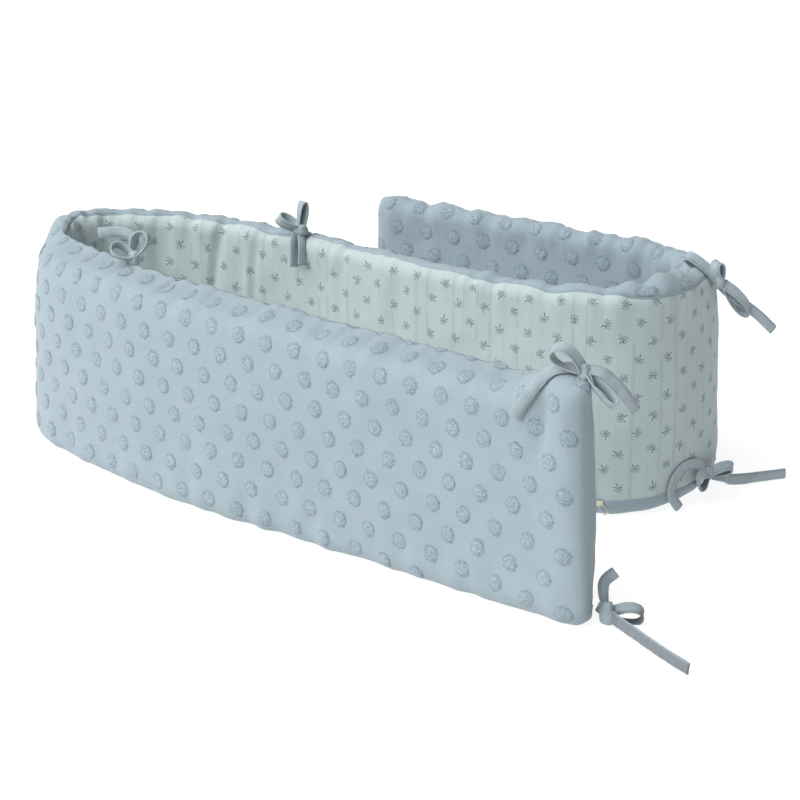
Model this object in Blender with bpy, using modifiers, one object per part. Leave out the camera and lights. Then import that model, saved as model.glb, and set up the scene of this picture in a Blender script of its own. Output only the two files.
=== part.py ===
"""Cot bumper: one long padded band that stands on its lower edge, laid out in an S.

Metres, +Z up. The near and middle runs lie along X, and the origin is on the floor under the
middle of the S. Face A of the band is on the left of its run from the near end, face B on the right.
The pieces are the filled pad in its dotted cover, the printed panel on face B, ten tied bows of
flat tape along the two long seams, and the pull of the zip in the lower seam.
"""

import math

import bmesh
import bpy
import numpy as np
from mathutils import Vector

# The band.
HEIGHT = 0.300
FACE_THICKNESS = 0.042  # where the faces meet the rounded edges
CROWN = 0.003  # each face swells this much more at mid-height
EDGE_ROUND = 0.021
FOOT_HALF_WIDTH = 0.009  # of the flat underside
END_DRAW = 0.030  # length over which each end thins
END_THICKNESS_SHARE = 0.30
CORNER_ROUND = 0.016
NEAR_FLARE = 0.009  # the near end's lower corner stands out this much past its upper one
NEAR_FLARE_LENGTH = 0.060

# The plan of its centre line from the near end: stretch, length, turn in degrees (left is positive).
PLAN = [
    ("near run", 0.530, 1.3),
    ("near run, curving in", 0.453, -17.0),
    ("left turn", 0.091, -113.6),
    ("out of the left turn", 0.171, -31.5),
    ("middle run", 0.253, -19.8),
    ("middle run, straightening", 0.374, 15.2),
    ("right turn", 0.136, 74.6),
    ("right turn, wider", 0.246, 107.0),
    ("far run", 0.182, -7.5),
    ("far run to its end", 0.226, 1.7),
]
BEND_EASE = 0.048
START = (0.4261, -0.2621)
START_HEADING = 180.0
LENGTH = sum(length for _, length, _ in PLAN)

# Lean of the band: station, and how far the top stands off towards face A for each metre of height.
LEAN = [
    (0.00, 0.00),
    (0.30, -0.03),
    (0.60, -0.04),
    (0.90, -0.05),
    (1.80, -0.03),
    (2.05, 0.04),
    (LENGTH, 0.00),
]

# Pinches and folds in the faces: station, face, depth, half width, slant along the band per metre up.
FOLDS = [
    (0.985, "B", 0.005, 0.008, 0.05),
    (1.020, "B", 0.007, 0.008, -0.04),
    (1.056, "B", 0.006, 0.008, 0.03),
    (1.200, "B", 0.003, 0.010, 0.00),
    (1.262, "B", 0.003, 0.012, 0.20),
    (1.322, "B", 0.002, 0.010, -0.05),
    (2.050, "A", 0.005, 0.009, 0.05),
    (2.115, "A", 0.004, 0.009, -0.06),
    (2.177, "A", 0.007, 0.010, 0.04),
]

# Where an edge is rounder than EDGE_ROUND, drawn in by its seam: station, half length, face, edge, extra.
DRAWN_IN = [
    (0.975, 0.100, "A", "top", 0.036),
    (2.090, 0.110, "B", "low", 0.010),
]

# Where a tie pulls an edge up, or the filling sags under it: station, half length, edge, rise.
RISES = [
    (0.960, 0.080, "top", -0.004),
    (1.960, 0.090, "top", 0.005),
    (2.075, 0.090, "low", 0.020),
    (2.170, 0.080, "top", -0.006),
]

# The printed panel lies in a shallow recess of face B between the two long seams.
SEAM_LOW = 0.017
SEAM_HIGH = 0.2996
SEAM_LIP = 0.0015
RECESS = 0.0019
PANEL_THICKNESS = 0.0015
PANEL_END = 0.014
PANEL_TOP = 0.2995
TOP_LEVEL = 0.2923  # halfway round the upper edge between the face and the seam
CLEARANCE = 0.0003

# Grid of the pad's surface.
STRAIGHT_STEP = 0.050
TURN_STEP = 0.015
FOLD_STEP = 0.010
FACE_LEVELS = [0.055, 0.100, 0.150, 0.200, 0.248]
ARC_STEPS = 3

# The tie tape, and the knots it makes: length along the band, depth, height.
TAPE_WIDTH = 0.015
TAPE_THICKNESS = 0.0016
TAPE_LIFT = 0.0045  # least height of a tape's middle over the pad
KNOT_SIZE = (0.013, 0.011, 0.018)
KNOT_ROUND = 0.0035
KNOT_LIFT = 0.0050
LOOP_STEPS = 12
LOOP_FULLNESS = 0.65
LOOP_GAP = 0.0013
LOOP_START = 0.07  # of its length, inside the knot
TAIL_STEP = 0.013

# The tied bows: name, station and height on face B, and the knot's centre. A place here is
# (along the band, out from face B, up) in millimetres from that point of face B.
TIE_HIGH = 0.283
BOWS = [
    ("bow_near_top", 0.004, TIE_HIGH, (10, -8, 33)),
    ("bow_near_low", 0.004, SEAM_LOW, (-11, 9, -9)),
    ("bow_left_top", 0.800, TIE_HIGH, (-2, 5, 8)),
    ("bow_left_low", 0.800, SEAM_LOW, (0, 9, 0)),
    ("bow_mid_top", 1.425, TIE_HIGH, (1, -6, 25)),
    ("bow_mid_low", 1.425, SEAM_LOW, (0, 9, 0)),
    ("bow_right_top", 2.085, TIE_HIGH, (-15, 6, 4)),
    ("bow_right_low", 2.035, SEAM_LOW, (-4, 9, 8)),
    ("bow_far_top", 2.655, TIE_HIGH, (0, 9, 0)),
    ("bow_far_low", 2.655, SEAM_LOW, (0, 9, 0)),
]

# Loops: bow, tip, breadth in millimetres, and the direction across the tape.
LOOPS = [
    ("bow_near_top", (39, -30, 59), 30, (0.42, 0.79, 0.36)),
    ("bow_near_top", (-21, 9, -5), 12, (-0.75, -0.30, 0.59)),
    ("bow_near_low", (-48, 30, -8), 19, (0.50, 0.75, 0.42)),
    ("bow_left_top", (2, 20, 42), 22, (-0.19, -0.95, 0.26)),
    ("bow_left_top", (17, -18, 21), 14, (-0.43, -0.36, 0.83)),
    ("bow_mid_top", (-23, 10, 43), 15, (0.42, -0.32, 0.85)),
    ("bow_mid_top", (4, -11, 62), 7, (0.97, 0.20, -0.10)),
    ("bow_right_top", (-14, -38, 36), 10, (0.80, 0.30, 0.55)),
    ("bow_right_top", (-13, 2, 29), 11, (0.60, -0.70, 0.20)),
    ("bow_right_top", (-15, 43, -36), 14, (0.80, -0.10, 0.55)),
    ("bow_right_low", (-29, 7, -1), 16, (0.70, -0.60, 0.30)),
    ("bow_right_low", (17, 31, 14), 10, (0.80, -0.30, 0.50)),
    ("bow_left_low", (30, 17, 2), 13, (0.00, 0.90, 0.40)),
    ("bow_left_low", (-30, 17, 0), 13, (0.00, 0.90, 0.40)),
    ("bow_mid_low", (31, 16, 1), 13, (0.00, 0.90, 0.40)),
    ("bow_mid_low", (-29, 17, 3), 14, (0.00, 0.90, 0.40)),
    ("bow_far_top", (26, 16, -16), 13, (0.00, 0.90, 0.40)),
    ("bow_far_top", (-28, 16, -12), 14, (0.00, 0.90, 0.40)),
    ("bow_far_low", (28, 17, 1), 13, (0.00, 0.90, 0.40)),
    ("bow_far_low", (-30, 16, 3), 13, (0.00, 0.90, 0.40)),
]

# Loose tapes: bow, the way the flat side looks at the start and at the end, and the places passed.
OUT = (0.0, 1.0, 0.0)
TAPES = [
    ("bow_near_top", OUT, OUT, [(0, -8, 16), (3, -9, 24), (8, -8, 31)]),
    (
        "bow_near_top",
        (-0.4, -0.5, 0.8),
        (-0.62, -0.72, 0.33),
        [(12, -9, 33), (27, -14, 36), (45, -25, 29), (57, -39, 13), (69, -43, -6), (83, -44, -31)],
    ),
    (
        "bow_near_top",
        (-0.3, -0.5, 0.8),
        (-0.3, -0.5, 0.8),
        [(8, -7, 36), (-8, 2, 34), (-22, 11, 20), (-34, 18, 4), (-42, 25, -13)],
    ),
    ("bow_near_low", OUT, OUT, [(-2, 5, -1), (-11, 9, -8)]),
    (
        "bow_near_low",
        (-0.75, 0.1, 0.1),
        (-0.6, -0.7, 0.35),
        [(-10, 9, -2), (-4, 11, 15), (-3, 15, 27), (-12, 24, 38)],
    ),
    (
        "bow_near_low",
        (0.4, -0.9, 0.0),
        (0.4, -0.9, 0.0),
        [(-14, 7, -11), (-33, -2, -13.4), (-80, -21, -13.7), (-125, -38, -13.7), (-175, -56, -13.7)],
    ),
    (
        "bow_left_top",
        (-0.5, -0.8, 0.1),
        (-0.5, -0.8, 0.0),
        [(2, 6, 9), (16, 18, 26), (34, 13, 34), (62, -8, 31)],
    ),
    ("bow_left_top", OUT, OUT, [(4, 5, 6), (10, 8, -8), (15, 7, -41), (18, 6, -76)]),
    ("bow_mid_top", (0.85, 0.35, 0.1), (0.85, 0.35, 0.1), [(5, -6, 20), (12, 1, 8), (15, 4, -7), (15, 6, -21)]),
    ("bow_mid_top", (0.85, 0.35, 0.1), (0.85, 0.35, 0.1), [(0, -3, 21), (0, 4, 7), (2, 6, -8), (2, 8, -25)]),
    (
        "bow_right_top",
        (-0.7, 0.4, 0.5),
        (-0.7, 0.4, 0.5),
        [(-14, 8, -1), (-12, 25, -17), (-9, 53, -37), (-8, 78, -60)],
    ),
    (
        "bow_right_low",
        (0.0, 1.0, 0.3),
        (-0.3, 1.0, 0.0),
        [(-6, 6, 12), (-23, 0, 25), (-43, -6, 26), (-60, -12, 12), (-64, -14, -9), (-58, -5, -27.5)],
    ),
    (
        "bow_right_low",
        (-0.5, 0.5, 0.6),
        (-0.6, 0.8, 0.0),
        [(-2, 11, 6), (18, 19, -2), (46, 16, -15), (84, 27, -23.2), (125, 59, -23.2)],
    ),
    ("bow_left_low", OUT, OUT, [(3, 11, -1.5), (18, 16, -7.5), (52, 15, -9.3)]),
    ("bow_left_low", OUT, OUT, [(-3, 10, -3.5), (-18, 17, -8.5), (-48, 15, -9.0)]),
    ("bow_mid_low", OUT, OUT, [(3, 11, -1.4), (18, 17, -8), (50, 16, -9.3)]),
    ("bow_mid_low", OUT, OUT, [(-3, 10, -3.3), (-18, 16, -7.6), (-54, 17, -9.0)]),
    ("bow_far_top", OUT, OUT, [(3, 11, -4), (9, 13, -22), (13, 9, -58)]),
    ("bow_far_top", OUT, OUT, [(-3, 10, -3), (-12, 15, -22), (-18, 8, -64)]),
    ("bow_far_low", OUT, OUT, [(3, 11, -1.2), (16, 18, -7.4), (44, 22, -9.6)]),
    ("bow_far_low", OUT, OUT, [(-3, 10, -3.1), (-18, 16, -8), (-50, 15, -9.3)]),
]

# The zip's slider in the lower seam, and the open wire pull that hangs from it.
ZIP_STATION = 1.900
SLIDER_SIZE = (0.0095, 0.0034, 0.0060)
SLIDER_OUT = 0.0026
PULL_LENGTH = 0.016
PULL_BREADTH = 0.0062
PULL_WIRE = 0.0014
PULL_SLANT = 36.0  # degrees from straight down, along the band

COVER_BLUE = (0.43, 0.53, 0.60, 1.0)
PANEL_MINT = (0.58, 0.67, 0.66, 1.0)
TAPE_BLUE = (0.50, 0.60, 0.64, 1.0)
ZIP_CREAM = (0.72, 0.69, 0.58, 1.0)


def clear_scene():
    for obj in list(bpy.data.objects):
        bpy.data.objects.remove(obj)


def material(name, colour, roughness, metallic=0.0):
    made = bpy.data.materials.new(name)
    made.use_nodes = True
    shader = made.node_tree.nodes["Principled BSDF"]
    shader.inputs["Base Color"].default_value = colour
    shader.inputs["Roughness"].default_value = roughness
    shader.inputs["Metallic"].default_value = metallic
    return made


def add_object(name, mesh, finish):
    obj = bpy.data.objects.new(name, mesh)
    mesh.materials.append(finish)
    bumper.objects.link(obj)
    return obj


def helper(obj):
    obj.hide_render = True
    obj.display_type = "WIRE"
    return obj


def unite(obj, other):
    union = obj.modifiers.new("with " + other.name, "BOOLEAN")
    union.operation = "UNION"
    union.solver = "EXACT"
    union.use_self = True
    union.object = helper(other)


# The plan curve: curvature of each stretch, eased into the next, then integrated.
PLAN_STEP = 0.001
plan_s = np.arange(0.0, LENGTH + PLAN_STEP / 2, PLAN_STEP)
plan_curvature = np.zeros_like(plan_s)
stretch_start = 0.0
for _, stretch_length, turn in PLAN:
    stretch_end = stretch_start + stretch_length
    begins = 0.5 + 0.5 * np.tanh((plan_s - stretch_start) / BEND_EASE) if stretch_start else 1.0
    ends = 0.5 - 0.5 * np.tanh((plan_s - stretch_end) / BEND_EASE)
    if stretch_end > LENGTH - PLAN_STEP:
        ends = 1.0
    plan_curvature += math.radians(turn) / stretch_length * begins * ends
    stretch_start = stretch_end
plan_heading = math.radians(START_HEADING) + np.cumsum(plan_curvature) * PLAN_STEP
plan_x = START[0] + np.cumsum(np.cos(plan_heading)) * PLAN_STEP
plan_y = START[1] + np.cumsum(np.sin(plan_heading)) * PLAN_STEP


def centre_line(s):
    """The plan point at s, and the level unit vector across the band towards face A."""
    heading = np.interp(s, plan_s, plan_heading)
    point = Vector((np.interp(s, plan_s, plan_x), np.interp(s, plan_s, plan_y), 0.0))
    return point, Vector((-math.sin(heading), math.cos(heading), 0.0))


def quarter_round(distance, reach):
    """0 at an edge, 1 from reach on, along a quarter circle."""
    short = max(0.0, 1.0 - distance / reach)
    return math.sqrt(1.0 - min(short, 1.0) ** 2)


def bump(s, at, half_length):
    """1 at a place, falling smoothly to nothing about two half lengths away."""
    return math.exp(-(((s - at) / half_length) ** 2))


def fold_depth(s, face, z):
    depth = 0.0
    for at, folded_face, deep, half_width, slant in FOLDS:
        if folded_face == face:
            depth += deep * bump(s - slant * (z - HEIGHT / 2), at, half_width)
    return depth


def half_thickness(s, face, z):
    """From the centre line out to a face at height z: rounded edges, crown, folds and thinned ends."""
    full = FACE_THICKNESS / 2 + CROWN * math.sin(math.pi * z / HEIGHT)
    edge_round = {"low": EDGE_ROUND, "top": EDGE_ROUND}
    for at, half_length, drawn_face, edge, extra in DRAWN_IN:
        if drawn_face == face:
            edge_round[edge] += extra * bump(s, at, half_length)
    if z < edge_round["low"]:
        thick = FOOT_HALF_WIDTH + (full - FOOT_HALF_WIDTH) * quarter_round(z, edge_round["low"])
    else:
        thick = full * quarter_round(HEIGHT - z, edge_round["top"])
        thick -= fold_depth(s, face, z) * quarter_round(HEIGHT - z, 2 * EDGE_ROUND)
    from_end = min(s, LENGTH - s)
    return thick * (END_THICKNESS_SHARE + (1 - END_THICKNESS_SHARE) * quarter_round(from_end, END_DRAW))


def surface_point(s, face, z, out=0.0):
    """A point of face A or B at station s and height z, moved out from the pad by a distance."""
    centre, across = centre_line(s)
    lean = np.interp(s, [at for at, _ in LEAN], [slope for _, slope in LEAN])
    side = 1.0 if face == "A" else -1.0
    up = min(max((z - HEIGHT) / EDGE_ROUND + 1.0, 0.0), 1.0)  # of the upper edge's outward direction
    level = math.sqrt(1.0 - up**2)
    offset = side * (half_thickness(s, face, z) + out * level) + lean * (z - HEIGHT / 2)
    rounded = CORNER_ROUND * (1 - quarter_round(min(s, LENGTH - s), CORNER_ROUND))
    point = centre + across * offset
    point.z = HEIGHT / 2 + (z - HEIGHT / 2) * (1 - 2 * rounded / HEIGHT) + out * up
    if s < NEAR_FLARE_LENGTH:
        outwards = Vector((-across.y, across.x, 0.0))
        point += outwards * NEAR_FLARE * (1 - z / HEIGHT) * (1 - s / NEAR_FLARE_LENGTH)
    for at, half_length, edge, rise in RISES:
        share = z / HEIGHT if edge == "top" else 1 - z / HEIGHT
        point.z += rise * bump(s, at, half_length) * share**2
    return point


def stations(start, end):
    """Stations from start to end, close together in the turns and at the folds."""
    fold_places = [fold[0] for fold in FOLDS]
    found = [start]
    while found[-1] < end:
        s = found[-1]
        bend = abs(np.interp(s + TURN_STEP, plan_s, plan_curvature))
        step = STRAIGHT_STEP / (1 + bend * STRAIGHT_STEP / math.radians(17))
        if min(abs(s - place) for place in fold_places) < 2 * FOLD_STEP:
            step = min(step, FOLD_STEP)
        found.append(s + step)
    found[-1] = end
    if found[-1] - found[-2] < FOLD_STEP / 2:
        found.pop(-2)
    return found


def loft(name, rings):
    """A closed mesh through rings of the same number of points, its two ends capped."""
    mesh = bpy.data.meshes.new(name)
    build = bmesh.new()
    rows = [[build.verts.new(point) for point in ring] for ring in rings]
    around = len(rows[0])
    for row, following in zip(rows, rows[1:]):
        for i in range(around):
            after = (i + 1) % around
            build.faces.new((row[i], row[after], following[i]))
            build.faces.new((row[after], following[after], following[i]))
    build.faces.new(rows[0][::-1])
    build.faces.new(rows[-1])
    bmesh.ops.recalc_face_normals(build, faces=build.faces)
    build.to_mesh(mesh)
    build.free()
    return mesh


# Stations that round the last few centimetres of an end, then those of the whole band.
END_STATIONS = [0.0, 0.002, 0.005, 0.009]
END_STATIONS += [PANEL_END - 2 * SEAM_LIP, PANEL_END - SEAM_LIP, PANEL_END, 0.019, 0.025, END_DRAW]
pad_stations = END_STATIONS + stations(END_DRAW, LENGTH - END_DRAW)[1:-1]
pad_stations += [LENGTH - s for s in reversed(END_STATIONS)]

# Heights that divide each rounded edge into equal angles.
arc_rises = [EDGE_ROUND * math.sin(math.pi / 2 * step / ARC_STEPS) for step in range(ARC_STEPS)]
low_levels = [EDGE_ROUND - rise for rise in arc_rises]
high_levels = [HEIGHT - EDGE_ROUND + rise for rise in arc_rises]


def make_pad():
    """The filled band in its one-piece dotted cover, recessed on face B for the panel."""
    a_levels = [0.0] + sorted(low_levels) + FACE_LEVELS + high_levels
    recessed = [SEAM_LOW, EDGE_ROUND] + FACE_LEVELS + [high_levels[0], TOP_LEVEL, SEAM_HIGH]
    rings = []
    for s in pad_stations:
        holds_panel = PANEL_END - 1.01 * SEAM_LIP < s < LENGTH - PANEL_END + 1.01 * SEAM_LIP
        sink = -RECESS if holds_panel else 0.0
        ring = [surface_point(s, "A", z) for z in a_levels]
        ring.append(surface_point(s, "A", HEIGHT))
        b_side = [(0.0, 0.0), (low_levels[2], 0.0), (SEAM_LOW - SEAM_LIP, 0.0)]
        b_side += [(z, sink) for z in recessed]
        ring += [surface_point(s, "B", z, out) for z, out in reversed(b_side)]
        rings.append(ring)
    return add_object("pad", loft("pad", rings), cover_blue)


def make_panel():
    """The printed panel: an even sheet over the recess, just clear of the pad."""
    levels = [SEAM_LOW + CLEARANCE, EDGE_ROUND] + FACE_LEVELS
    levels += [high_levels[0], TOP_LEVEL, PANEL_TOP]
    places = [s for s in pad_stations if PANEL_END <= s <= LENGTH - PANEL_END]
    mesh = bpy.data.meshes.new("print_panel")
    build = bmesh.new()
    rows = [
        [build.verts.new(surface_point(s, "B", z, CLEARANCE - RECESS)) for z in levels]
        for s in places
    ]
    for row, following in zip(rows, rows[1:]):
        for i in range(len(levels) - 1):
            build.faces.new((row[i], following[i], following[i + 1]))
            build.faces.new((row[i], following[i + 1], row[i + 1]))
    build.to_mesh(mesh)
    build.free()
    panel = add_object("print_panel", mesh, panel_mint)
    sheet = panel.modifiers.new("sheet", "SOLIDIFY")
    sheet.thickness = PANEL_THICKNESS
    sheet.offset = 1.0
    sheet.use_even_offset = True
    return panel


class SeamFrame:
    """Axes at a point of a seam on face B: along the band, out from the face, and up."""

    def __init__(self, s, z):
        self.start = surface_point(s, "B", z)
        outward = -centre_line(s)[1]
        self.along = Vector((-outward.y, outward.x, 0.0))
        self.outward = outward

    def direction(self, vector):
        along, out, up = vector
        return self.along * along + self.outward * out + Vector((0.0, 0.0, up))

    def place(self, millimetres):
        return self.start + self.direction(millimetres) / 1000


def box_mesh(name, frame, centre, size):
    """A box set square in a seam frame."""
    mesh = bpy.data.meshes.new(name)
    build = bmesh.new()
    bmesh.ops.create_cube(build, size=1.0)
    for vert in build.verts:
        scaled = [c * full for c, full in zip(vert.co, size)]
        vert.co = centre + frame.direction(scaled)
    bmesh.ops.recalc_face_normals(build, faces=build.faces)
    build.to_mesh(mesh)
    build.free()
    return mesh


def keep_off_pad(obj, lift):
    """Pushes whatever comes nearer the pad than lift out to that height."""
    wrap = obj.modifiers.new("off the pad", "SHRINKWRAP")
    wrap.target = pad
    wrap.wrap_method = "NEAREST_SURFACEPOINT"
    wrap.wrap_mode = "OUTSIDE"
    wrap.offset = lift


def tape(name, centres, across):
    """A flat tape along a row of places, with the direction across it at each."""
    mesh = bpy.data.meshes.new(name)
    build = bmesh.new()
    rows = []
    for centre, wide in zip(centres, across):
        reach = wide.normalized() * TAPE_WIDTH / 2
        rows.append([build.verts.new(centre - reach), build.verts.new(centre + reach)])
    for row, following in zip(rows, rows[1:]):
        build.faces.new((row[0], following[0], following[1], row[1]))
    build.to_mesh(mesh)
    build.free()
    obj = add_object(name, mesh, tape_blue)
    keep_off_pad(obj, TAPE_LIFT)
    sheet = obj.modifiers.new("sheet", "SOLIDIFY")
    sheet.thickness = TAPE_THICKNESS
    sheet.offset = 0.0
    return obj


def forward_along(route):
    """The direction of travel at each place of a route."""
    steps = zip([route[0]] + route[:-1], route[1:] + [route[-1]])
    return [(after - before).normalized() for before, after in steps]


def smooth_route(places):
    """Points about TAIL_STEP apart on a curve through the places (Catmull-Rom)."""
    ends = [2 * places[0] - places[1]] + places + [2 * places[-1] - places[-2]]
    route = []
    for before, start, end, after in zip(ends, ends[1:], ends[2:], ends[3:]):
        count = max(1, round((end - start).length / TAIL_STEP))
        for step in range(count):
            t = step / count
            bend = (end - before) * t + (2 * before - 5 * start + 4 * end - after) * t**2
            route.append(start + 0.5 * (bend + (3 * start - before - 3 * end + after) * t**3))
    route.append(places[-1])
    return route


def loop_route(knot, tip, breadth, edge):
    """A drop-shaped loop out of the knot to its tip and back."""
    reach = tip - knot
    side = reach.cross(edge).normalized()
    route = []
    for step in range(LOOP_STEPS + 1):
        turn = 2 * math.pi * step / LOOP_STEPS
        aside = LOOP_FULLNESS * breadth * math.sin(turn) * math.sin(turn / 2)
        aside += LOOP_GAP * math.cos(turn / 2)
        forth = LOOP_START + (1 - LOOP_START) * (1 - math.cos(turn)) / 2
        route.append(knot + reach * forth + side * aside)
    return route


def make_bow(name, station, height, knot_place):
    """One tied bow: a rounded knot joined with its loops and tapes."""
    frame = SeamFrame(station, height)
    knot = frame.place(knot_place)
    bow = add_object(name, box_mesh(name, frame, knot, KNOT_SIZE), tape_blue)
    rounding = bow.modifiers.new("rounding", "BEVEL")
    rounding.width = KNOT_ROUND
    rounding.segments = 2
    keep_off_pad(bow, KNOT_LIFT)
    for owner, tip, breadth, edge in LOOPS:
        if owner == name:
            edge = frame.direction(edge)
            route = loop_route(knot, frame.place(tip), breadth / 1000, edge)
            across = [edge - way * edge.dot(way) for way in forward_along(route)]
            unite(bow, tape(name + " loop", route, across))
    for owner, looks_first, looks_last, places in TAPES:
        if owner == name:
            route = smooth_route([frame.place(place) for place in places])
            first, last = frame.direction(looks_first), frame.direction(looks_last)
            ways = forward_along(route)
            across = [way.cross(first.lerp(last, i / len(ways))) for i, way in enumerate(ways)]
            unite(bow, tape(name + " tape", route, across))
    return bow


def make_zip_pull():
    """The slider of the closed zip, joined with its open pull."""
    frame = SeamFrame(ZIP_STATION, SEAM_LOW)
    centre = frame.start + frame.outward * SLIDER_OUT
    mesh = box_mesh("zip_pull", frame, centre, SLIDER_SIZE)
    slider = add_object("zip_pull", mesh, zip_cream)
    slant = math.radians(PULL_SLANT)
    hang = frame.direction((math.sin(slant), 0.10, -math.cos(slant)))
    aside = frame.direction((math.cos(slant), 0.0, math.sin(slant)))
    top = centre + frame.outward * SLIDER_SIZE[1] / 2
    corners = []
    for down, across in ((0.0, -0.5), (0.0, 0.5), (1.0, 0.5), (1.0, -0.5)):
        corners.append(top + hang * PULL_LENGTH * down + aside * PULL_BREADTH * across)
    ring = bpy.data.curves.new("pull", "CURVE")
    ring.dimensions = "3D"
    ring.bevel_depth = PULL_WIRE / 2
    ring.bevel_resolution = 1
    spline = ring.splines.new("POLY")
    spline.points.add(len(corners) - 1)
    for point, corner in zip(spline.points, corners):
        point.co = (*corner, 1.0)
    spline.use_cyclic_u = True
    curve = bpy.data.objects.new("pull", ring)
    wire = add_object("pull wire", bpy.data.meshes.new_from_object(curve), zip_cream)
    bpy.data.objects.remove(curve)
    unite(slider, wire)
    return slider


clear_scene()
bumper = bpy.data.collections.new("cot bumper")
bpy.context.scene.collection.children.link(bumper)
cover_blue = material("cover blue", COVER_BLUE, 0.9)
panel_mint = material("panel mint", PANEL_MINT, 0.9)
tape_blue = material("tape blue", TAPE_BLUE, 0.85)
zip_cream = material("zip cream", ZIP_CREAM, 0.5)
pad = make_pad()
make_panel()
for bow_row in BOWS:
    make_bow(*bow_row)
make_zip_pull()
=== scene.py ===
import math

import bmesh
import bpy
import numpy as np
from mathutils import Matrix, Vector


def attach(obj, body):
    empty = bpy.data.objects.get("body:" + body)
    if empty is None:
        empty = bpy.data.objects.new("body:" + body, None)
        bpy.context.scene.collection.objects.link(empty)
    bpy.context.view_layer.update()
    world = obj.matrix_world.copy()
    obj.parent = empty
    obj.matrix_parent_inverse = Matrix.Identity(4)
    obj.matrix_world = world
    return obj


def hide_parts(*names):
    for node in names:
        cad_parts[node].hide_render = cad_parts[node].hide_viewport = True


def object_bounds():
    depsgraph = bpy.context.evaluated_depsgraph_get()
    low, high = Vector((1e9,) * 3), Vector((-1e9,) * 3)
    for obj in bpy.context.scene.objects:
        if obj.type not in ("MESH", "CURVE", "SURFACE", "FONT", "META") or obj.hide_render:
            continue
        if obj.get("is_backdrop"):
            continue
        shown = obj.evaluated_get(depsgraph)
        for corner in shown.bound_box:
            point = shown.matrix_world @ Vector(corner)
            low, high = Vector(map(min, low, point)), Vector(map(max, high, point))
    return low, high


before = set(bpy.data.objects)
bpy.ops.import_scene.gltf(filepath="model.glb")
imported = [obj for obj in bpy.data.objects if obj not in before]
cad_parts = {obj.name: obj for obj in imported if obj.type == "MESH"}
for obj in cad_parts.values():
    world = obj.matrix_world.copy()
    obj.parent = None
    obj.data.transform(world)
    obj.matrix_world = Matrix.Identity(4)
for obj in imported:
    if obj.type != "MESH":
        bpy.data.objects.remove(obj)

cad_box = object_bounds()

# --- The camera -----------------------------------------------------------------------------
# A long lens at standing height, off the near corner of the bumper, looking 19 degrees down.
# It is the view that the photograph has.

view_pitch = math.radians(19.0)
view_way = Vector((-0.6521 * math.cos(view_pitch), 0.7581 * math.cos(view_pitch), -math.sin(view_pitch)))
camera = bpy.data.objects.new("camera", bpy.data.cameras.new("camera"))
camera.data.lens = 131.4
camera.data.sensor_width = 36.0
camera.data.clip_end = 60.0
camera.location = (2.3314, -2.8134, 1.3749)
camera.rotation_euler = view_way.to_track_quat("-Z", "Y").to_euler()
bpy.context.scene.collection.objects.link(camera)
bpy.context.scene.camera = camera
bpy.context.scene.view_settings.view_transform = "Standard"

# --- The studio -----------------------------------------------------------------------------
# A white paper floor, an even white surround, a very wide soft light from the left of the camera
# and a nearer one beside it. None of it is part of the bumper.


class Strand:
    """An output socket of a material. Sums, products and comparisons of strands and numbers add
    Math nodes, so a pattern is written as its formula."""

    def __init__(self, recipe, socket):
        self.recipe = recipe
        self.socket = socket

    def math(self, operation, *values):
        return self.recipe.node("ShaderNodeMath", {"operation": operation}, dict(enumerate(values)))

    def __add__(self, other):
        return self.math("ADD", self, other)

    def __radd__(self, other):
        return self.math("ADD", other, self)

    def __sub__(self, other):
        return self.math("SUBTRACT", self, other)

    def __rsub__(self, other):
        return self.math("SUBTRACT", other, self)

    def __mul__(self, other):
        return self.math("MULTIPLY", self, other)

    def __rmul__(self, other):
        return self.math("MULTIPLY", other, self)

    def __truediv__(self, other):
        return self.math("DIVIDE", self, other)

    def __rtruediv__(self, other):
        return self.math("DIVIDE", other, self)

    def __pow__(self, other):
        return self.math("POWER", self, other)

    def __mod__(self, other):
        return self.math("FLOORED_MODULO", self, other)

    def __abs__(self):
        return self.math("ABSOLUTE", self)

    def __round__(self):
        return self.math("ROUND", self)

    def __lt__(self, other):
        return self.math("LESS_THAN", self, other)

    def __gt__(self, other):
        return self.math("GREATER_THAN", self, other)

    def sin(self):
        return self.math("SINE", self)

    def cos(self):
        return self.math("COSINE", self)

    def or_more(self, other):
        return self.math("MAXIMUM", self, other)

    def fade(self, low, high):
        """0 below low, 1 above high and an even S between them; low above high turns it round."""
        return self.recipe.node(
            "ShaderNodeMapRange",
            {"interpolation_type": "SMOOTHSTEP"},
            {"Value": self, "From Min": low, "From Max": high},
        )


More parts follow.
